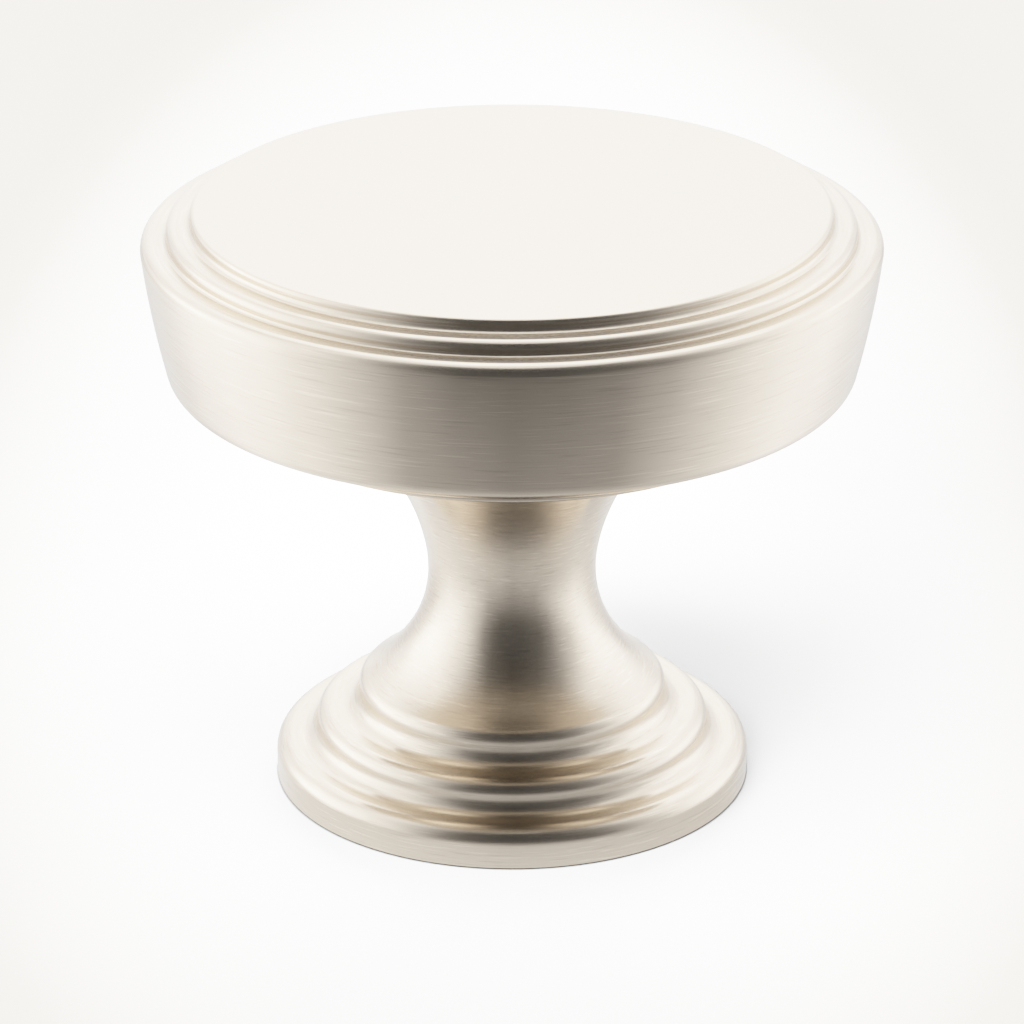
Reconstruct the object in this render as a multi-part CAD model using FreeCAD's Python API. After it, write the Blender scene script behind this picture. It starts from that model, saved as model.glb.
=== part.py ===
import FreeCAD, Part
import math
import os

# Cabinet knob, turned in one piece: a broad stepped head on a waisted neck that flares out of a
# two-tier base. Millimetres, +Z up, origin at the centre of the base's flat underside.

# Base, from the bell-shaped foot outwards: the bell's edge, a second tier round it, and a round
# plate under that. A shelf is the width that shows outside the next step up.
bell_radius = 8.1
bell_edge_height = 1.62
bell_edge_round = 0.8
bell_foot_fillet = 0.9
tier_shelf = 2.24
tier_height = 1.66
tier_edge_round = 0.72
tier_foot_fillet = 0.84
plate_shelf = 2.17
plate_thickness = 2.15
plate_edge_round = 0.87
seat_edge_break = 0.12

# Neck: a waist between a wide flare under the head and a tighter sweep into the bell
waist_radius = 4.41
waist_height = 11.62
waist_bend = 6.8
waist_angle_up = 10.3
waist_angle_down = 28.0
flare_reach = 6.04
flare_foot_fillet = 0.44

# Head, from the rim inwards: two raised steps above, a barrel-shaped side that tapers down, and a
# ring on the underside round the end of the neck's flare
neck_length = 21.15
head_radius = 19.11
head_depth = 7.72
rim_edge_round = 0.51
rim_shelf = 1.39
ledge_height = 0.75
ledge_edge_round = 0.4
ledge_foot_fillet = 0.18
ledge_shelf = 1.26
face_height = 0.68
face_edge_round = 0.22
face_foot_fillet = 0.29
side_taper = 1.44
side_barrel = 50.0
underside_edge_round = 1.1
underside_lip = 3.15
ring_height = 1.36
ring_edge_round = 0.33
ring_foot_fillet = 0.23

# Blind tapped hole for the mounting screw, at tap-drill size: 8-32 UNC is 4.17 mm over its thread
tap_drill_radius = 1.727
thread_major_radius = 2.083
tap_drill_depth = 14.0
drill_point_angle = 118.0
countersink_margin = 0.35

TOLERANCE = 1e-4


def point(radius, height):
    """A point of the turned outline, in the XZ plane."""
    return FreeCAD.Vector(radius, 0, height)


def line(start, end):
    return Part.LineSegment(start, end).toShape()


def arc(centre, radius, first_angle, last_angle):
    """An arc in the XZ plane; angles in radians from +X towards +Z."""
    middle_angle = (first_angle + last_angle) / 2
    stops = [
        centre + FreeCAD.Vector(math.cos(a), 0, math.sin(a)) * radius
        for a in (first_angle, middle_angle, last_angle)
    ]
    return Part.Arc(*stops).toShape()


def tangent_arc(start, direction, end):
    """The arc that leaves start along direction and passes through end."""
    chord = end - start
    normal = FreeCAD.Vector(-direction.z, 0, direction.x)
    radius = chord.Length ** 2 / (2 * normal.dot(chord))
    centre = start + normal * radius
    first = math.atan2(start.z - centre.z, start.x - centre.x)
    last = math.atan2(end.z - centre.z, end.x - centre.x)
    sweep = (last - first + math.pi) % (2 * math.pi) - math.pi
    return arc(centre, abs(radius), first, first + sweep)


def barrel_arc(top, bottom, radius):
    """A slightly bowed side: an arc of the given radius from top to bottom, bulging outwards."""
    middle = (top + bottom) / 2
    half_chord = (top - bottom).Length / 2
    bulge = radius - math.sqrt(radius ** 2 - half_chord ** 2)
    along = (top - bottom).normalize()
    outwards = FreeCAD.Vector(along.z, 0, -along.x)
    return Part.Arc(top, middle + outwards * bulge, bottom).toShape()


def neck_arcs(flare_end, bell_edge):
    """The waist's arc, and the two arcs that carry it on to the head and to the bell's edge."""
    waist_centre = point(waist_radius + waist_bend, waist_height)
    up = math.radians(180 - waist_angle_up)
    down = math.radians(180 + waist_angle_down)
    waist_top = waist_centre + FreeCAD.Vector(math.cos(up), 0, math.sin(up)) * waist_bend
    waist_bottom = waist_centre + FreeCAD.Vector(math.cos(down), 0, math.sin(down)) * waist_bend
    upwards = FreeCAD.Vector(math.sin(up), 0, -math.cos(up))
    downwards = FreeCAD.Vector(-math.sin(down), 0, math.cos(down))
    flare = tangent_arc(waist_top, upwards, flare_end)
    waist = arc(waist_centre, waist_bend, up, down)
    sweep = tangent_arc(waist_bottom, downwards, bell_edge)
    return [flare, waist, sweep]


def round_edges(solid, roundings):
    """Round each circular edge that lies at (radius, height) by its own radius."""
    for radius, height, rounding in roundings:
        edges = [
            edge for edge in solid.Edges
            if isinstance(edge.Curve, Part.Circle)
            and abs(edge.Curve.Radius - radius) < TOLERANCE
            and abs(edge.Curve.Center.z - height) < TOLERANCE
        ]
        solid = solid.makeFillet(rounding, edges)
    return solid


def knob_body():
    """The turned outline, revolved, with every edge and inner corner rounded as the tool leaves it."""
    tier_radius = bell_radius + tier_shelf
    plate_radius = tier_radius + plate_shelf
    tier_seat = plate_thickness
    bell_seat = tier_seat + tier_height
    bell_top = bell_seat + bell_edge_height

    ledge_radius = head_radius - rim_shelf
    face_radius = ledge_radius - ledge_shelf
    corner_radius = head_radius - side_taper
    ring_radius = corner_radius - underside_lip
    flare_end_radius = waist_radius + flare_reach
    ring_bottom = neck_length
    underside = ring_bottom + ring_height
    rim = underside + head_depth
    ledge = rim + ledge_height
    face = ledge + face_height

    flare_end = point(flare_end_radius, ring_bottom)
    bell_edge = point(bell_radius, bell_top)
    rim_corner = point(head_radius, rim)
    underside_corner = point(corner_radius, underside)

    steps_down = [
        point(0, face), point(face_radius, face), point(face_radius, ledge),
        point(ledge_radius, ledge), point(ledge_radius, rim), rim_corner,
    ]
    under_head = [
        underside_corner, point(ring_radius, underside), point(ring_radius, ring_bottom), flare_end,
    ]
    base = [
        bell_edge, point(bell_radius, bell_seat), point(tier_radius, bell_seat),
        point(tier_radius, tier_seat), point(plate_radius, tier_seat), point(plate_radius, 0),
        point(0, 0), point(0, face),
    ]
    edges = []
    for stretch in (steps_down, under_head, base):
        edges += [line(a, b) for a, b in zip(stretch, stretch[1:])]
    edges.append(barrel_arc(rim_corner, underside_corner, side_barrel))
    edges += neck_arcs(flare_end, bell_edge)
    outline = Part.Wire(Part.sortEdges(edges)[0])
    blank = Part.Face(outline).revolve(point(0, 0), FreeCAD.Vector(0, 0, 1), 360)

    return round_edges(blank, [
        (face_radius, face, face_edge_round),
        (face_radius, ledge, face_foot_fillet),
        (ledge_radius, ledge, ledge_edge_round),
        (ledge_radius, rim, ledge_foot_fillet),
        (head_radius, rim, rim_edge_round),
        (corner_radius, underside, underside_edge_round),
        (ring_radius, underside, ring_foot_fillet),
        (ring_radius, ring_bottom, ring_edge_round),
        (flare_end_radius, ring_bottom, flare_foot_fillet),
        (bell_radius, bell_top, bell_edge_round),
        (bell_radius, bell_seat, bell_foot_fillet),
        (tier_radius, bell_seat, tier_edge_round),
        (tier_radius, tier_seat, tier_foot_fillet),
        (plate_radius, tier_seat, plate_edge_round),
        (plate_radius, 0, seat_edge_break),
    ])


def screw_hole():
    """The drilled hole with its pointed end, and a countersink that clears the thread's mouth."""
    up = FreeCAD.Vector(0, 0, 1)
    mouth_radius = thread_major_radius + countersink_margin
    countersink_depth = mouth_radius - tap_drill_radius
    point_length = tap_drill_radius / math.tan(math.radians(drill_point_angle / 2))
    drilled = Part.makeCylinder(tap_drill_radius, tap_drill_depth, point(0, 0), up)
    tip = Part.makeCone(tap_drill_radius, 0, point_length, point(0, tap_drill_depth), up)
    countersink = Part.makeCone(mouth_radius, tap_drill_radius, countersink_depth, point(0, 0), up)
    return drilled.fuse([tip, countersink])


def cabinet_knob():
    return knob_body().cut(screw_hole()).Solids[0]


os.makedirs("parts", exist_ok=True)
knob = cabinet_knob()
knob.exportStep("parts/cabinet_knob.step")
box = knob.optimalBoundingBox(False)
print("cabinet_knob: valid", knob.isValid(), "faces", len(knob.Faces), "volume mm3", round(knob.Volume, 1))
print("size mm", round(box.XLength, 2), round(box.YLength, 2), round(box.ZLength, 2))
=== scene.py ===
# %% [markdown]
# A cabinet knob in satin nickel, turned in one piece: a broad stepped head on a waisted neck that
# flares out of a two-tier base. The CAD model is loaded first. It fixes the size, the origin at
# the centre of the base's underside and the +Z axis, and everything below is drawn in that frame,
# in metres.

# %% Load the CAD frame
import math

import bpy
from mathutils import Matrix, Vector
from mathutils.geometry import intersect_line_sphere_2d


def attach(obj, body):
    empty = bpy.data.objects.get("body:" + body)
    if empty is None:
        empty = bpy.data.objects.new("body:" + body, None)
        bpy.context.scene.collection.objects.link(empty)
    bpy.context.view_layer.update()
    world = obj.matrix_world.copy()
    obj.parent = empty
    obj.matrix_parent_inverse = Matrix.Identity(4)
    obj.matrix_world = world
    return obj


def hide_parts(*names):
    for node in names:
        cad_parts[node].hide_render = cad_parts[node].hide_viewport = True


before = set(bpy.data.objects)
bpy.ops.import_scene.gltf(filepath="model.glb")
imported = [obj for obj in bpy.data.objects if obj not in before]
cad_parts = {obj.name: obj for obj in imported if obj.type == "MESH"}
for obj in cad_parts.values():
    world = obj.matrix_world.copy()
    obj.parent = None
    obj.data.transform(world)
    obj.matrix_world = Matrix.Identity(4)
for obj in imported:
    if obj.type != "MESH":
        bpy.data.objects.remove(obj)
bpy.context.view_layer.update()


# %% [markdown]
# A turned knob is one outline spun round its axis, so the outline decides everything. The CAD mesh
# has it too, but its facets would show in the highlights, so the knob is drawn anew from the
# turner's own sizes: the width and height of each step, and the radius that each edge or inner
# corner is left with. At the bottom a round plate carries a tier, and the tier carries the bell in
# which the neck ends. A shelf is the width that shows outside the next step up.

# %% The base's sizes
MM = 0.001

bell_radius = 8.1 * MM
bell_edge_height = 1.62 * MM
bell_edge_round = 0.8 * MM
bell_foot_fillet = 0.9 * MM
tier_shelf = 2.24 * MM
tier_radius = bell_radius + tier_shelf
tier_height = 1.66 * MM
tier_edge_round = 0.72 * MM
tier_foot_fillet = 0.84 * MM
plate_shelf = 2.17 * MM
plate_radius = tier_radius + plate_shelf
plate_thickness = 2.15 * MM
plate_edge_round = 0.87 * MM
seat_edge_break = 0.12 * MM

tier_seat = plate_thickness
bell_seat = tier_seat + tier_height
bell_top = bell_seat + bell_edge_height
print("base", round(2 * plate_radius / MM, 2), "mm across,", round(bell_top / MM, 2), "mm high")


# %% [markdown]
# The neck is what the fingers close round. It is narrowest at the waist, a little below the middle
# of its height, and bends out both ways from there. The two angles, in degrees, say how far the
# waist's own bend reaches up and down before the next arc takes over.

# %% The neck's sizes
waist_radius = 4.41 * MM
waist_height = 11.62 * MM
waist_bend = 6.8 * MM
waist_angle_up = 10.3
waist_angle_down = 28.0
flare_reach = 6.04 * MM
flare_end_radius = waist_radius + flare_reach
flare_foot_fillet = 0.44 * MM
neck_length = 21.15 * MM
print("waist", round(2 * waist_radius / MM, 2), "mm across")


# %% [markdown]
# The head has two low steps on top, a ledge and the face, each set in from the one below by a
# shelf. Its side is slightly bowed, like a barrel, and tapers down to a rounded lower corner. A
# ring on the underside runs round the end of the neck's flare.

# %% The head's sizes
head_radius = 19.11 * MM
head_depth = 7.72 * MM
rim_edge_round = 0.51 * MM
rim_shelf = 1.39 * MM
ledge_radius = head_radius - rim_shelf
ledge_height = 0.75 * MM
ledge_edge_round = 0.4 * MM
ledge_foot_fillet = 0.18 * MM
ledge_shelf = 1.26 * MM
face_radius = ledge_radius - ledge_shelf
face_height = 0.68 * MM
face_edge_round = 0.22 * MM
face_foot_fillet = 0.29 * MM
side_taper = 1.44 * MM
side_barrel = 50.0 * MM
corner_radius = head_radius - side_taper
underside_edge_round = 1.1 * MM
underside_lip = 3.15 * MM
ring_radius = corner_radius - underside_lip
ring_height = 1.36 * MM
ring_edge_round = 0.33 * MM
ring_foot_fillet = 0.23 * MM

underside = neck_length + ring_height
rim = underside + head_depth
ledge = rim + ledge_height
face = ledge + face_height
print("head", round(2 * head_radius / MM, 2), "mm across before its rim is rounded")
print("knob", round(face / MM, 2), "mm high")


# %% [markdown]
# A machine screw through the door holds the knob from behind. Its hole is drilled, with the
# drill's pointed end, opened by a small countersink, and tapped: 32 threads to the inch, which
# stop short of the drill's depth because a tap can't cut to the bottom.

# %% The screw hole's sizes
INCH = 25.4 * MM

tap_drill_radius = 1.727 * MM
tap_drill_depth = 14.0 * MM
drill_point_angle = 118.0
thread_major_radius = 2.083 * MM
threads_per_inch = 32
thread_pitch = INCH / threads_per_inch
thread_top = 11.9 * MM
countersink_margin = 0.35 * MM
print("thread pitch", round(thread_pitch / MM, 3), "mm")


# %% [markdown]
# The outline is made of stretches in the half-plane of radius and height. It could be one Bezier
# curve with handles, but a lathe leaves true lines and arcs, and those can be worked out exactly.
# So a stretch is either straight or an arc about a centre.

# %% Stretches of the outline
def flat(radius, height):
    """A point of the outline: its distance from the knob's axis, and its height."""
    return Vector((radius, height))


def left_of(direction):
    return Vector((-direction.y, direction.x))


def cross(a, b):
    return a.x * b.y - a.y * b.x


def straight(start, end):
    return {"start": start, "end": end, "centre": None}


def bent(start, end, centre):
    return {"start": start, "end": end, "centre": centre}


def direction_at(stretch, place):
    """The way the outline runs at a place on the stretch."""
    if stretch["centre"] is None:
        return (stretch["end"] - stretch["start"]).normalized()
    spoke = place - stretch["centre"]
    turn = cross(stretch["start"] - stretch["centre"], stretch["end"] - stretch["centre"])
    return left_of(spoke).normalized() * (1 if turn > 0 else -1)


# %% [markdown]
# At first the stretches meet in sharp corners. A Bevel modifier could round those, but each corner
# here has a radius of its own, so it gets the true arc that touches both stretches. The arc's
# centre lies where the two would cross if each were pushed sideways by the rounding. That works
# alike for a line with a line and for a line with an arc.

# %% The arc that rounds a corner
def rounding_centre(before, after, corner, rounding):
    """The centre of the arc that rounds the corner between two stretches."""
    side = 1 if cross(direction_at(before, corner), direction_at(after, corner)) > 0 else -1
    lines = []
    circle = None
    for stretch in (before, after):
        sideways = left_of(direction_at(stretch, corner)) * side * rounding
        if stretch["centre"] is None:
            lines.append((stretch["start"] + sideways, stretch["end"] + sideways))
        else:
            pushed_radius = (corner + sideways - stretch["centre"]).length
            circle = (stretch["centre"], pushed_radius)
    a, b = lines[0]
    if circle is None:
        c, d = lines[1]
        run, other = b - a, d - c
        return a + run * (cross(c - a, other) / cross(run, other))
    crossings = intersect_line_sphere_2d(a, b, *circle, False)
    found = [place for place in crossings if place is not None]
    return min(found, key=lambda place: (place - corner).length)


def touching(stretch, centre):
    """Where a rounding with this centre touches the stretch."""
    if stretch["centre"] is None:
        along = direction_at(stretch, stretch["start"])
        return stretch["start"] + along * (centre - stretch["start"]).dot(along)
    spoke = (centre - stretch["centre"]).normalized()
    return stretch["centre"] + spoke * (stretch["start"] - stretch["centre"]).length


# %% [markdown]
# The neck is three arcs in a row. The waist is a tight one about a centre outside the neck. Above
# it a wide arc flares out to the head's ring, and below it another sweeps out to the bell's edge.
# A smooth curve through a few points would be quicker to draw, but metal shows in its reflections
# how evenly it bends. Each arc here carries on in the waist's own direction, so there is no kink.

# %% The neck's three arcs
def carried_on(start, direction, end):
    """The arc that leaves start along direction and reaches end."""
    chord = end - start
    normal = left_of(direction)
    radius = chord.length_squared / (2 * normal.dot(chord))
    return bent(start, end, start + normal * radius)


flare_end = flat(flare_end_radius, neck_length)
bell_edge = flat(bell_radius, bell_top)
waist_centre = flat(waist_radius + waist_bend, waist_height)
angle_up = math.radians(180 - waist_angle_up)
angle_down = math.radians(180 + waist_angle_down)
waist_top = waist_centre + flat(math.cos(angle_up), math.sin(angle_up)) * waist_bend
waist_bottom = waist_centre + flat(math.cos(angle_down), math.sin(angle_down)) * waist_bend

flare = carried_on(waist_top, flat(math.sin(angle_up), -math.cos(angle_up)), flare_end)
sweep = carried_on(waist_bottom, flat(-math.sin(angle_down), math.cos(angle_down)), bell_edge)
neck = [
    bent(flare_end, waist_top, flare["centre"]),
    bent(waist_top, waist_bottom, waist_centre),
    sweep,
]
print("flare radius", round((flare_end - flare["centre"]).length / MM, 1), "mm")


# %% [markdown]
# The head's side could be straight, but on the real knob it is a little fuller in the middle, which
# softens its reflections. It is a single arc of a large radius from the rim to the lower corner. So
# its centre lies beyond the axis, on the line that halves the side at right angles.

# %% The head's bowed side
rim_corner = flat(head_radius, rim)
underside_corner = flat(corner_radius, underside)
half_side = (rim_corner - underside_corner) / 2
side_normal = -left_of(half_side.normalized())
centre_depth = math.sqrt(side_barrel ** 2 - half_side.length_squared)
barrel_centre = underside_corner + half_side - side_normal * centre_depth
bowed_side = bent(rim_corner, underside_corner, barrel_centre)
print("side bows out", round((side_barrel - centre_depth) / MM, 3), "mm")


# %% [markdown]
# Now the whole outline, from the middle of the face over the rim, down the bowed side, under the
# head, along the neck, down the base and into the screw hole. Each corner is listed with its
# rounding. Where the neck's arcs meet there is nothing to round, and the hole's own corners stay
# crisp, as a drill and a tap leave them.

# %% The outline's corners and their roundings
CRISP = 0.0

mouth_radius = thread_major_radius + countersink_margin
drill_point = tap_drill_radius / math.tan(math.radians(drill_point_angle / 2))
thread_depth = thread_major_radius - tap_drill_radius

corners = [
    (flat(face_radius, face), face_edge_round),
    (flat(face_radius, ledge), face_foot_fillet),
    (flat(ledge_radius, ledge), ledge_edge_round),
    (flat(ledge_radius, rim), ledge_foot_fillet),
    (rim_corner, rim_edge_round),
    (underside_corner, underside_edge_round),
    (flat(ring_radius, underside), ring_foot_fillet),
    (flat(ring_radius, neck_length), ring_edge_round),
    (flare_end, flare_foot_fillet),
    (waist_top, CRISP),
    (waist_bottom, CRISP),
    (bell_edge, bell_edge_round),
    (flat(bell_radius, bell_seat), bell_foot_fillet),
    (flat(tier_radius, bell_seat), tier_edge_round),
    (flat(tier_radius, tier_seat), tier_foot_fillet),
    (flat(plate_radius, tier_seat), plate_edge_round),
    (flat(plate_radius, 0), seat_edge_break),
    (flat(mouth_radius, 0), CRISP),
    (flat(thread_major_radius, countersink_margin), CRISP),
    (flat(thread_major_radius, thread_top), CRISP),
    (flat(tap_drill_radius, thread_top + thread_depth), CRISP),
    (flat(tap_drill_radius, tap_drill_depth), CRISP),
]
face_middle = flat(0, face)
drill_tip = flat(0, tap_drill_depth + drill_point)
places = [face_middle, *[place for place, _ in corners], drill_tip]
arcs = {tuple(stretch["start"]): stretch for stretch in (bowed_side, *neck)}
stretches = [
    arcs.get(tuple(start), straight(start, end)) for start, end in zip(places, places[1:])
]
print(len(stretches), "stretches,", sum(rounding > 0 for _, rounding in corners), "rounded corners")


# %% [markdown]
# The outline is drawn in edit mode as a pencil would draw it. The pencil is one selected vertex:
# a straight run is an extrusion of it, and an arc is a spin of it about the arc's centre. A long
# run gets a short step at each end. These support loops hold the shading flat right up to a
# rounding, where one long face would smear the highlight across the flat.

# %% A vertex that draws
SUPPORT = 0.03 * MM
SHORTEST_SUPPORTED = 4 * SUPPORT
ARC_STEP = math.radians(7)
LONGEST_STEP = 0.45 * MM
FEWEST_STEPS = 4


def start_drawing(name, place):
    """A new mesh of one vertex, left selected in edit mode."""
    bpy.ops.object.select_all(action="DESELECT")
    bpy.ops.mesh.primitive_plane_add(size=MM, location=(0, 0, 0))
    piece = bpy.context.object
    piece.name = name
    piece.data.name = name
    bpy.ops.object.mode_set(mode="EDIT")
    bpy.ops.mesh.merge(type="CENTER")
    bpy.ops.transform.translate(value=(place.x, 0, place.y))
    return piece


def draw_line(start, end, supported):
    """Straight on by extrusion, with support loops if they are wanted and fit."""
    run = end - start
    steps = [run]
    if supported and run.length > SHORTEST_SUPPORTED:
        step = run.normalized() * SUPPORT
        steps = [step, run - 2 * step, step]
    for step in steps:
        bpy.ops.mesh.extrude_region_move(TRANSFORM_OT_translate={"value": (step.x, 0, step.y)})


def draw_arc(start, end, centre):
    """The spin turns clockwise about +Y, which is from +X to +Z, as the angle is measured."""
    spoke, last = start - centre, end - centre
    angle = math.atan2(cross(spoke, last), spoke.dot(last))
    by_angle = abs(angle) / ARC_STEP
    by_length = abs(angle) * spoke.length / LONGEST_STEP
    bpy.ops.mesh.spin(
        steps=max(FEWEST_STEPS, math.ceil(max(by_angle, by_length))),
        angle=angle,
        center=(centre.x, 0, centre.y),
        axis=(0, 1, 0),
        use_auto_merge=False,
    )


# %% [markdown]
# The pencil goes round the outline stretch by stretch. It stops where a corner's rounding begins,
# draws the rounding, and goes on from where that ends.

# %% Draw the outline
knob = start_drawing("knob", face_middle)
pencil = face_middle
for before, after, (corner, rounding) in zip(stretches, stretches[1:], corners):
    run_end, next_start = corner, corner
    if rounding > 0:
        centre = rounding_centre(before, after, corner, rounding)
        run_end = touching(before, centre)
        next_start = touching(after, centre)
    if before["centre"] is None:
        draw_line(pencil, run_end, supported=True)
    else:
        draw_arc(pencil, run_end, before["centre"])
    if rounding > 0:
        draw_arc(run_end, next_start, centre)
    pencil = next_start
draw_line(pencil, drill_tip, supported=False)
bpy.ops.object.mode_set(mode="OBJECT")
print("outline drawn with", len(knob.data.vertices), "points")


# %% [markdown]
# One spin about the knob's axis turns the outline into the knob, with steps so fine that the rim
# looks round in a close view. A Screw modifier could do the same, but the spin needs no applying.
# It leaves a ring of vertices on the axis and a seam where it closes, so doubles are merged, and
# the normals are then made to face out of the metal.

# %% Spin the outline into the knob
TURN_STEPS = 240
FULL_TURN = 2 * math.pi
MERGE_WITHIN = 0.0005 * MM

bpy.ops.object.mode_set(mode="EDIT")
bpy.ops.mesh.select_all(action="SELECT")
bpy.ops.mesh.spin(
    steps=TURN_STEPS, angle=FULL_TURN, center=(0, 0, 0), axis=(0, 0, 1), use_auto_merge=False
)
bpy.ops.mesh.select_all(action="SELECT")
bpy.ops.mesh.remove_doubles(threshold=MERGE_WITHIN)
bpy.ops.mesh.normals_make_consistent(inside=False)
bpy.ops.object.mode_set(mode="OBJECT")
print("knob:", len(knob.data.vertices), "vertices,", len(knob.data.polygons), "faces")


# %% [markdown]
# The mounting screw's thread is a ridge that winds up the hole. A bump in the material would only
# hint at it, so it is modelled. Its section is a small trapezium, 60 degrees between its flanks,
# with its back let a little way into the wall. Three extrusions draw three sides. A face made
# from all four vertices brings the fourth, and then the face goes and its edges stay.

# %% The thread's section
THREAD_LET_IN = 0.02 * MM
FLANK_SLOPE = math.tan(math.radians(30))
CREST_WIDTH = thread_pitch / 4

crest_half = CREST_WIDTH / 2
back_half = crest_half + (thread_depth + THREAD_LET_IN) * FLANK_SLOPE
thread_start = countersink_margin + back_half
section = [
    flat(thread_major_radius + THREAD_LET_IN, thread_start - back_half),
    flat(tap_drill_radius, thread_start - crest_half),
    flat(tap_drill_radius, thread_start + crest_half),
    flat(thread_major_radius + THREAD_LET_IN, thread_start + back_half),
]

thread = start_drawing("thread", section[0])
for start, end in zip(section, section[1:]):
    draw_line(start, end, supported=False)
bpy.ops.mesh.select_all(action="SELECT")
bpy.ops.mesh.edge_face_add()
bpy.ops.mesh.delete(type="ONLY_FACE")
bpy.ops.object.mode_set(mode="OBJECT")
print("thread section with", len(thread.data.edges), "sides")


# %% [markdown]
# A Screw modifier winds the closed section up by one pitch a turn, for as many whole turns as fit
# under the end of the tapped length. The two open ends are then found as the only open edges, and
# each is capped with a face.

# %% Wind the section up the hole
THREAD_STEPS = 40

thread_turns = int((thread_top - back_half - thread_start) / thread_pitch)
winding = thread.modifiers.new("winding", "SCREW")
winding.axis = "Z"
winding.angle = FULL_TURN
winding.screw_offset = thread_pitch
winding.iterations = thread_turns
winding.steps = THREAD_STEPS
winding.render_steps = THREAD_STEPS
bpy.ops.object.modifier_apply(modifier="winding")

bpy.ops.object.mode_set(mode="EDIT")
bpy.ops.mesh.select_all(action="DESELECT")
bpy.ops.mesh.select_mode(type="EDGE")
bpy.ops.mesh.select_non_manifold(extend=False, use_wire=False, use_multi_face=False)
bpy.ops.mesh.edge_face_add()
bpy.ops.mesh.select_all(action="SELECT")
bpy.ops.mesh.normals_make_consistent(inside=False)
bpy.ops.mesh.select_mode(type="VERT")
bpy.ops.object.mode_set(mode="OBJECT")
print("thread:", thread_turns, "turns,", len(thread.data.polygons), "faces")


# %% [markdown]
# The thread is cut from the knob's own metal, so it joins the knob's mesh. Shading is smooth
# except across the crisp corners of the hole and the thread. The finished knob then stands for the
# CAD solid, in its place and on its body.

# %% Join the thread, shade, and put the knob in the CAD solid's place
CRISP_ANGLE = math.radians(35)

bpy.ops.object.select_all(action="DESELECT")
thread.select_set(True)
knob.select_set(True)
bpy.context.view_layer.objects.active = knob
bpy.ops.object.join()
bpy.ops.object.shade_smooth_by_angle(angle=CRISP_ANGLE)
bpy.ops.object.transform_apply(location=True, rotation=True, scale=True)

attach(knob, "root")
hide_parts("cabinet_knob")
print("knob joined:", len(knob.data.polygons), "faces")


# %% [markdown]
# The finishes and the studio are built from shader nodes. They could be set out by hand in the
# node editor, but a few helpers keep them short here. The first adds a node and fills its sockets.
# The others do a sum, start a material and send a shader to the surface.

# %% Helpers that add shader nodes
def add(tree, kind, sockets=None, **settings):
    """A new node. A socket is given a number or a colour, or another node's output."""
    node = tree.nodes.new(kind)
    for name, value in settings.items():
        setattr(node, name, value)
    for socket, value in (sockets or {}).items():
        if isinstance(value, (int, float, tuple)):
            node.inputs[socket].default_value = value
        else:
            tree.links.new(value, node.inputs[socket])
    return node


def maths(tree, operation, *values):
    return add(tree, "ShaderNodeMath", dict(enumerate(values)), operation=operation).outputs[0]


def new_material(name):
    material = bpy.data.materials.new(name)
    material.use_nodes = True
    material.node_tree.nodes.clear()
    return material, material.node_tree


def show(tree, shader, kind="ShaderNodeOutputMaterial"):
    add(tree, kind, {"Surface": shader.outputs[0]})


# %% [markdown]
# More than one finish needs a place on the knob, the distance from its axis, a soft step, a mix of
# two numbers, a brighter or darker colour, or a ramp of tones. Each has its own short helper.

# %% Helpers for places and tones
def coordinates(tree, kind="Object"):
    place = add(tree, "ShaderNodeTexCoord").outputs[kind]
    return add(tree, "ShaderNodeSeparateXYZ", {0: place}).outputs


def distance_out(tree, x, y):
    squares = [maths(tree, "MULTIPLY", side, side) for side in (x, y)]
    return maths(tree, "SQRT", maths(tree, "ADD", *squares))


def step_up(tree, value, low, high, kind="SMOOTHSTEP"):
    """0 below low, 1 above high, with a soft or a LINEAR step between."""
    sockets = {"Value": value, "From Min": low, "From Max": high}
    return add(tree, "ShaderNodeMapRange", sockets, interpolation_type=kind).outputs["Result"]


def between(tree, share, first, second):
    """first where share is 0, second where it is 1."""
    sockets = {0: share, 2: first, 3: second}
    return add(tree, "ShaderNodeMix", sockets, data_type="FLOAT").outputs[0]


def scaled(tree, colour, factor):
    sockets = {0: colour, "Scale": factor}
    return add(tree, "ShaderNodeVectorMath", sockets, operation="SCALE").outputs[0]


def tone_ramp(tree, share, stops, brightest):
    """A tone by stops of (share, tone), each a grey or a colour, as a part of the brightest."""
    ramp = add(tree, "ShaderNodeValToRGB", {0: share})
    elements = ramp.color_ramp.elements
    while len(elements) < len(stops):
        elements.new(1.0)
    for element, (place, tone) in zip(elements, stops):
        colour = tone if isinstance(tone, tuple) else (tone, tone, tone)
        element.position = place
        element.color = (*[part / brightest for part in colour], 1)
    return ramp.outputs["Color"]


# %% [markdown]
# The knob is brushed while it turns, so its fine scratches run round it, lighter or darker than
# the metal between them. A picture of brushed metal would show a seam and stretch on the curves.
# A noise does neither, if it is long round the knob and thin up and out: its coordinates are the
# unit direction round the axis, the height, and as a fourth one the distance out. A ramp leaves
# most of it plain and picks out the lowest and highest parts. The face on top is finished finer
# and has no scratches.

# %% The brushed lines
LINES_ROUND = 5.0
LINES_ACROSS = 11000.0
LINES_DETAIL = 2.0
LINES_ROUGHNESS = 0.6
SCRATCH_TONES = ((0.33, 0.84), (0.42, 0.97), (0.58, 0.97), (0.67, 1.14))
PALEST = SCRATCH_TONES[-1][1]
FINE_FACE = 0.1 * MM

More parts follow.
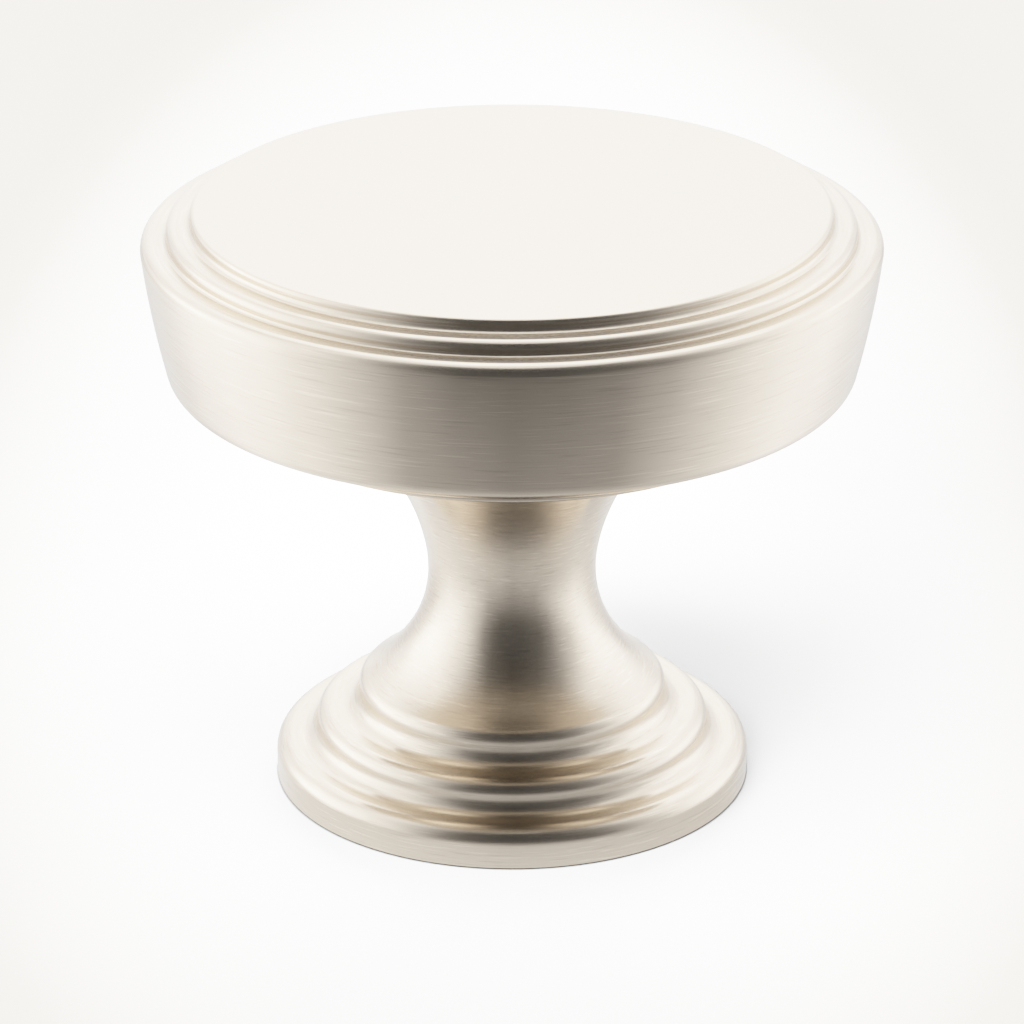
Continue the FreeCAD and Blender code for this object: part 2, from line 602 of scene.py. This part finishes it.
nickel, tree = new_material("satin_nickel")
x, y, z = coordinates(tree)
out = distance_out(tree, x, y)
round_x, round_y = (
    maths(tree, "MULTIPLY", maths(tree, "DIVIDE", side, out), LINES_ROUND) for side in (x, y)
)
up = maths(tree, "MULTIPLY", z, LINES_ACROSS)
lines_at = add(tree, "ShaderNodeCombineXYZ", {0: round_x, 1: round_y, 2: up})
lines = add(tree, "ShaderNodeTexNoise", noise_dimensions="4D", sockets={
    "Vector": lines_at.outputs[0],
    "W": maths(tree, "MULTIPLY", out, LINES_ACROSS),
    "Scale": 1.0,
    "Detail": LINES_DETAIL,
    "Roughness": LINES_ROUGHNESS,
})
scratches = tone_ramp(tree, lines.outputs[0], SCRATCH_TONES, PALEST)
on_face = step_up(tree, z, face - FINE_FACE, face - FINE_FACE / 2)
tone = between(tree, on_face, maths(tree, "MULTIPLY", scratches, PALEST), 1.0)
print("scratches of", len(SCRATCH_TONES), "tones")


# %% [markdown]
# Satin nickel is a warm grey metal. Brushing blurs its reflections across the lines much more than
# along them, which a plain rough metal can't show, so the highlight is stretched: the Tangent node
# gives the direction round the axis, and a quarter turn of the anisotropy sets the blur at right
# angles to it. The scratches tint the metal, and a bump of a few thousandths of a millimetre
# catches the light on them.

# %% The satin nickel
NICKEL = (0.62, 0.54, 0.443)
SATIN_ROUGHNESS = 0.21
BRUSHED_STRETCH = 0.85
QUARTER_TURN = 0.25
SCRATCH_STRENGTH = 1.0
SCRATCH_DEPTH = 0.003 * MM

scratched = add(tree, "ShaderNodeBump", {
    "Strength": SCRATCH_STRENGTH,
    "Distance": SCRATCH_DEPTH,
    "Height": tone,
})
round_axis = add(tree, "ShaderNodeTangent", direction_type="RADIAL", axis="Z")
metal = add(tree, "ShaderNodeBsdfPrincipled", {
    "Base Color": scaled(tree, NICKEL, tone),
    "Metallic": 1.0,
    "Roughness": SATIN_ROUGHNESS,
    "Anisotropic": BRUSHED_STRETCH,
    "Anisotropic Rotation": QUARTER_TURN,
    "Normal": scratched.outputs[0],
    "Tangent": round_axis.outputs[0],
})
show(tree, metal)

knob.data.materials.clear()
knob.data.materials.append(nickel)
print("satin nickel on", knob.name)


# %% [markdown]
# The floor is a plain matt sheet, as in a studio where the light is gathered on the object. The
# wide soft pool of light is painted into the sheet's colour, since a spot lamp's light would harden
# the knob's shadow: a ramp over the distance from the pool's middle, which lies a little behind the
# knob, takes it from white to a warm pale grey further out. The pool is long in depth, so distances
# in depth count for less, and least of all behind the middle. Right at the plate's edge a painted
# shadow darkens the sheet in a hair-thin ring, the shadow line where the plate rests on it.
# Reflections don't see this sheet: the card further down stands in for it.

# %% The floor, with a painted pool of light and a painted contact shadow
FLOOR_SIZE = 12.0
POOL_MIDDLE = 33.0 * MM
SHORTER_IN_FRONT = 0.42
SHORTER_BEHIND = 0.285
POOL_EDGE = 37.4 * MM
PAINTED_POOL_STOPS = (
    (0.0, 8.0), (0.17, 7.4), (0.36, 5.88), (0.5, 4.65), (0.64, 3.95), (0.78, (3.35, 3.28, 3.1)),
    (0.92, (2.5, 2.38, 2.15)), (1.0, (2.36, 2.2, 1.95)),
)
POOL_BRIGHTEST = PAINTED_POOL_STOPS[0][1]
FLOOR_WHITEST = 0.92
# The painted contact shadow: its width, and its grey as a part of the floor's white.
CONTACT_WIDTH = 0.08 * MM
CONTACT_SHADOW_GREY = 0.45


def ground_sheet(name, size):
    bpy.ops.object.select_all(action="DESELECT")
    bpy.ops.mesh.primitive_plane_add(size=size, location=(0, 0, 0))
    sheet = bpy.context.object
    sheet.name = name
    return sheet


def clear_of_plate(tree, out):
    """0 under the knob's plate, 1 from a hair's breadth outside it: the mask of the painted contact
    shadow.
    """
    return step_up(tree, out, plate_radius, plate_radius + CONTACT_WIDTH)


floor = ground_sheet("floor", FLOOR_SIZE)
matt, tree = new_material("floor_sheet")
x, y, _ = coordinates(tree)
deeper = maths(tree, "SUBTRACT", y, POOL_MIDDLE)
behind = maths(tree, "MULTIPLY", maths(tree, "MAXIMUM", deeper, 0.0), SHORTER_BEHIND)
in_front = maths(tree, "MULTIPLY", maths(tree, "MINIMUM", deeper, 0.0), SHORTER_IN_FRONT)
from_middle = distance_out(tree, x, maths(tree, "ADD", behind, in_front))
# The painted pool of light: the sheet's colour falls from white at the pool's middle to a warm
# grey.
painted_pool = tone_ramp(tree, maths(tree, "DIVIDE", from_middle, POOL_EDGE), PAINTED_POOL_STOPS, POOL_BRIGHTEST)
# The painted contact shadow: under the plate and in a hair-thin ring at its edge the sheet is a
# darker grey.
off_plate = clear_of_plate(tree, distance_out(tree, x, y))
whiteness_with_contact_shadow = between(tree, off_plate, CONTACT_SHADOW_GREY * FLOOR_WHITEST, FLOOR_WHITEST)
show(tree, add(tree, "ShaderNodeBsdfDiffuse", {"Color": scaled(tree, painted_pool, whiteness_with_contact_shadow)}))
floor.data.materials.append(matt)
floor.visible_glossy = False
print("floor", FLOOR_SIZE, "m wide")


# %% [markdown]
# Metal has little colour of its own and shows mostly the studio round it, so the studio is built
# with care. It is a white tent with a soft lamp on either side and a dark opening in front, where
# the camera stands. Its walls go round the knob by a ramp of a few stops, each an azimuth in
# degrees, with 0 at the camera and 90 on the right, and a brightness. The roof has a ramp of its
# own, pale behind and dark in front.

# %% The tent's brightness all round
TENT_BRIGHTEST = 6.1
WALL_STOPS = (
    (-180, 3.75), (-150, 2.5), (-135, 3.3), (-120, 5.35), (-105, 5.7), (-90, 4.8), (-75, 3.6),
    (-60, 2.65), (-48, 1.48), (-36, 0.53), (-24, 0.22), (-12, 0.13), (12, 0.12), (36, 0.2),
    (48, 0.44), (60, 0.94), (75, 1.56), (90, 3.1), (105, 4.4), (120, 4.55), (135, 3.9), (150, 2.5),
    (165, 2.55), (180, 3.75),
)
ROOF_STOPS = (
    (-180, 4.9), (-150, 4.4), (-120, 1.9), (-90, 2.95), (-60, 1.3), (-30, 0.2), (0, 0.06),
    (30, 0.16), (60, 0.52), (90, 2.5), (120, 2.45), (150, 4.75), (180, 4.9),
)


def round_ramp(tree, x, y, stops):
    """A brightness that goes round the knob by stops of azimuth."""
    azimuth = maths(tree, "ARCTAN2", x, maths(tree, "MULTIPLY", y, -1.0))
    share = maths(tree, "MULTIPLY_ADD", azimuth, 1 / FULL_TURN, 0.5)
    shares = [((degrees + 180) / 360, brightness) for degrees, brightness in stops]
    ramp = tone_ramp(tree, share, shares, TENT_BRIGHTEST)
    return maths(tree, "MULTIPLY", ramp, TENT_BRIGHTEST)


print("tent of", len(WALL_STOPS) + len(ROOF_STOPS), "stops")


# %% [markdown]
# The tent could be a dome round the knob, but that would stand in the way of a view from further
# off, so it is the world's own colour by direction. With height its walls turn into the roof, and
# straight overhead there is a bright panel. Only reflections see it: the camera gets plain white,
# and the lamps alone light the floor.

# %% The tent round the knob
ROOF_STARTS = math.radians(4)
ROOF_FULL = math.radians(62)
PANEL_STARTS = math.radians(68)
PANEL_FULL = math.radians(78)
PANEL_BRIGHT = 2.7
BACKDROP_WHITE = 3.3
WHITE = (1, 1, 1, 1)


def for_the_eye(tree, brightness):
    """The brightness, but nothing for light that has yet to reach the floor by way of the metal."""
    matt_bounces = add(tree, "ShaderNodeLightPath").outputs["Diffuse Depth"]
    return between(tree, maths(tree, "GREATER_THAN", matt_bounces, 0.5), brightness, 0.0)


world = bpy.data.worlds.new("tent")
bpy.context.scene.world = world
world.use_nodes = True
tree = world.node_tree
tree.nodes.clear()
x, y, z = coordinates(tree, "Generated")
height = maths(tree, "ARCSINE", z)
walls = round_ramp(tree, x, y, WALL_STOPS)
roof = round_ramp(tree, x, y, ROOF_STOPS)
tent = between(tree, step_up(tree, height, ROOF_STARTS, ROOF_FULL), walls, roof)
tent = between(tree, step_up(tree, height, PANEL_STARTS, PANEL_FULL), tent, PANEL_BRIGHT)
in_camera = add(tree, "ShaderNodeLightPath").outputs["Is Camera Ray"]
brightness = between(tree, in_camera, for_the_eye(tree, tent), BACKDROP_WHITE)
sky = add(tree, "ShaderNodeBackground", {"Color": WHITE, "Strength": brightness})
show(tree, sky, kind="ShaderNodeOutputWorld")
world.cycles_visibility.diffuse = False
print("tent with a panel from", round(math.degrees(PANEL_STARTS)), "degrees up")


# %% [markdown]
# What the knob shows of the floor is a card that only reflections see. The lit floor itself would
# be truer, but it is far too bright and even, where a real studio's falls off into the dark. The
# card's brightness is given on four rings round the knob, by their radius in millimetres, each
# with a ramp of azimuth: from the floor in the knob's own shade close to the base, which is painted
# shade, out to the open floor, bright beside the lamps and dark in front. Between two rings one
# ramp turns evenly into the next.

# %% The floor as the metal sees it
CARD_SIZE = 4.0
FLOOR_RINGS = {
    # The ring close to the base is painted shade: the knob's own shade on the floor, as the metal
    # sees it.
    13.0: (
        (-180, 1.0), (-135, 1.45), (-90, 2.2), (-45, 2.1), (0, 1.6), (90, 1.55), (135, 1.05),
        (180, 1.0),
    ),
    20.0: (
        (-180, 3.0), (-135, 2.6), (-90, 2.3), (-45, 1.5), (0, 0.83), (45, 1.1), (90, 1.75),
        (135, 1.7), (180, 3.0),
    ),
    34.0: (
        (-180, 1.75), (-120, 1.75), (-90, 3.4), (-60, 2.75), (-30, 0.9), (0, 0.5), (30, 0.7),
        (60, 2.15), (90, 3.5), (120, 2.0), (150, 1.6), (180, 1.75),
    ),
    80.0: (
        (-180, 3.8), (-150, 1.75), (-125, 2.65), (-105, 4.35), (-90, 4.5), (-75, 4.15),
        (-60, 2.4), (-45, 1.45), (-30, 0.56), (-15, 0.13), (15, 0.14), (30, 0.28), (45, 0.5),
        (60, 1.37), (75, 2.6), (90, 3.5), (105, 4.1), (125, 2.75), (150, 1.57), (180, 3.8),
    ),
}

card = ground_sheet("reflected_floor", CARD_SIZE)
shade, tree = new_material("reflected_floor")
x, y, _ = coordinates(tree)
out = distance_out(tree, x, y)
ramps = [round_ramp(tree, x, y, stops) for stops in FLOOR_RINGS.values()]
rings = [ring * MM for ring in FLOOR_RINGS]
brightness = ramps[0]
for ramp, inner, outer in zip(ramps[1:], rings, rings[1:]):
    brightness = between(tree, step_up(tree, out, inner, outer, kind="LINEAR"), brightness, ramp)
# A painted contact shadow in the reflection: the card is dark under the plate and in a hair-thin
# ring at its edge.
brightness = maths(tree, "MULTIPLY", brightness, clear_of_plate(tree, out))
show(tree, add(tree, "ShaderNodeEmission", {"Strength": for_the_eye(tree, brightness)}))
card.data.materials.append(shade)
card.visible_camera = False
card.visible_diffuse = False
card.visible_shadow = False
card.visible_transmission = False
print("card of", len(FLOOR_RINGS), "rings")


# %% [markdown]
# Four soft lamps light the floor, as large panels do round a product table: the key high in front
# and a little to the left, a low panel under it, one low behind, and a weak one high on the right.
# So the head's shadow falls softly behind the base, to the right. Area lamps would do, but sun
# lamps with a wide angle light the whole floor alike. Each is given by its azimuth, height and
# width in degrees, and by its share of the light on the floor, which is its strength times the
# sine of its height. Together they make the pool as bright as its ramp says. None of them shows
# in the metal, which has the tent for that.

# %% The lamps on the floor
LAMPS = {
    "key": {"share": 0.44, "azimuth": -20, "height": 70, "angle": 36},
    "low_front": {"share": 0.29, "azimuth": -24, "height": 23, "angle": 52},
    "low_back": {"share": 0.20, "azimuth": 178, "height": 17, "angle": 49},
    "high_right": {"share": 0.07, "azimuth": 69, "height": 79, "angle": 44},
}

full_light = POOL_BRIGHTEST * math.pi / FLOOR_WHITEST
for name, lamp in LAMPS.items():
    height = math.radians(lamp["height"])
    turned = (math.pi / 2 - height, 0, math.radians(lamp["azimuth"]))
    bpy.ops.object.light_add(type="SUN", rotation=turned)
    sun = bpy.context.object
    sun.name = name
    sun.data.energy = lamp["share"] * full_light / math.sin(height)
    sun.data.angle = math.radians(lamp["angle"])
    sun.visible_glossy = False
print(len(LAMPS), "lamps on the floor")


# %% [markdown]
# The camera looks down at the knob from the front, from the photograph's angle. A long lens from
# further off keeps the head's ellipses as flat as they are in the photograph.

# %% The camera
CAMERA_PLACE = (0, -0.25674, 0.12293)
CAMERA_TILT = math.radians(67.132)
CAMERA_LENS = 187.0
CAMERA_SENSOR = 36.0
NEAREST_SEEN = 0.01

bpy.ops.object.camera_add(location=CAMERA_PLACE, rotation=(CAMERA_TILT, 0, 0))
camera = bpy.context.object
camera.data.sensor_width = CAMERA_SENSOR
camera.data.lens = CAMERA_LENS
camera.data.clip_start = NEAREST_SEEN
bpy.context.scene.camera = camera
print("camera at", CAMERA_PLACE)


# %% [markdown]
# Bright light is rolled off as film does it, with a curve that rises ever more slowly, so that
# the white tent keeps its tone and the nickel's warmth fades in its highlights. Blender's filmic
# views roll off too, but they grey the whites and dull the colours.

# %% The roll-off of bright light
ROLL_OFF_STOPS = (0.1, 0.25, 0.5, 0.8, 1.2, 1.7, 2.4, 3.3, 4.5)
BRIGHTEST = 6.0
ALL_CHANNELS = 3


def rolled_off(light):
    return 1 - math.exp(-light)


view = bpy.context.scene.view_settings
view.view_transform = "Standard"
view.use_curve_mapping = True
mapping = view.curve_mapping
mapping.use_clip = True
mapping.clip_max_x = BRIGHTEST
curve = mapping.curves[ALL_CHANNELS]
curve.points[-1].location = (BRIGHTEST, rolled_off(BRIGHTEST))
for light in ROLL_OFF_STOPS:
    curve.points.new(light, rolled_off(light))
mapping.update()
print("roll-off with", len(curve.points), "points")
